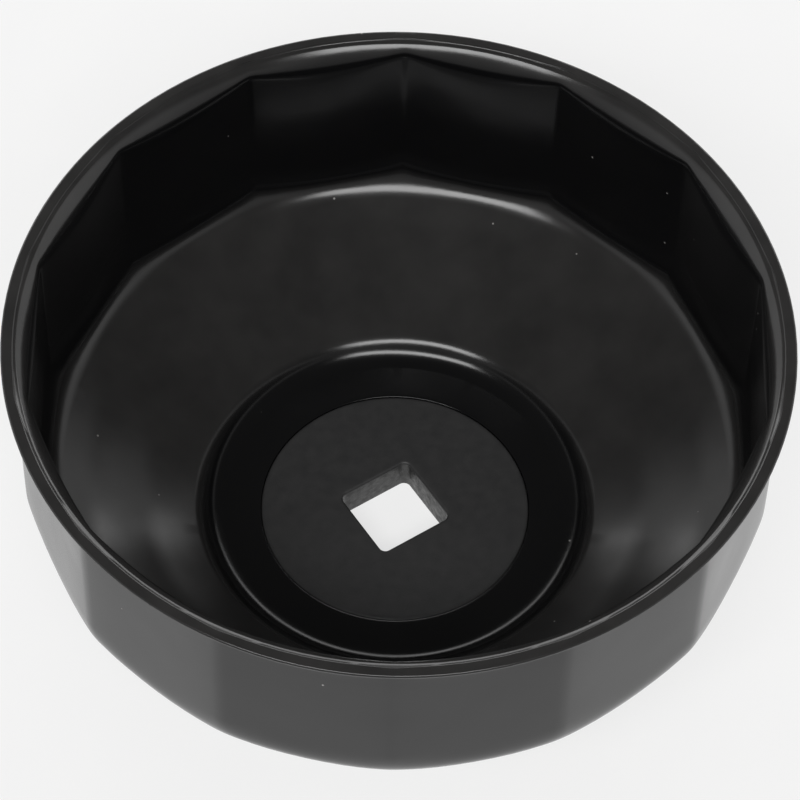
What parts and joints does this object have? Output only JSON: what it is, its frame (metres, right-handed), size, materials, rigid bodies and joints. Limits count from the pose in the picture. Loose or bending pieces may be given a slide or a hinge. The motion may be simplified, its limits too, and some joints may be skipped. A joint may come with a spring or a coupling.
{
  "type": "oil filter wrench",
  "caption": "Cap-type oil filter wrench: a stamped black steel cup with a fluted wall, a round flared lip and a welded-in square-drive plate.",
  "frame": {"origin": "on the centre line, in the plane of the drive plate's back, which the wrench rests on", "axes": "+Z along the centre line towards the open mouth; X and Y square with the sides of the drive square"},
  "size_m": [0.0912, 0.0912, 0.0402],
  "materials": {
    "cup_steel": "glossy black paint over drawn sheet steel",
    "plate_steel": "satin black over punched steel plate",
    "weld": "black paint over a rippled weld bead"
  },
  "bodies": {
    "root": {"cup_body": "cup_steel", "drive_plate": "plate_steel", "weld_bead_1": "weld", "weld_bead_2": "weld", "weld_bead_3": "weld", "weld_bead_4": "weld"}
  },
  "joints": []
}
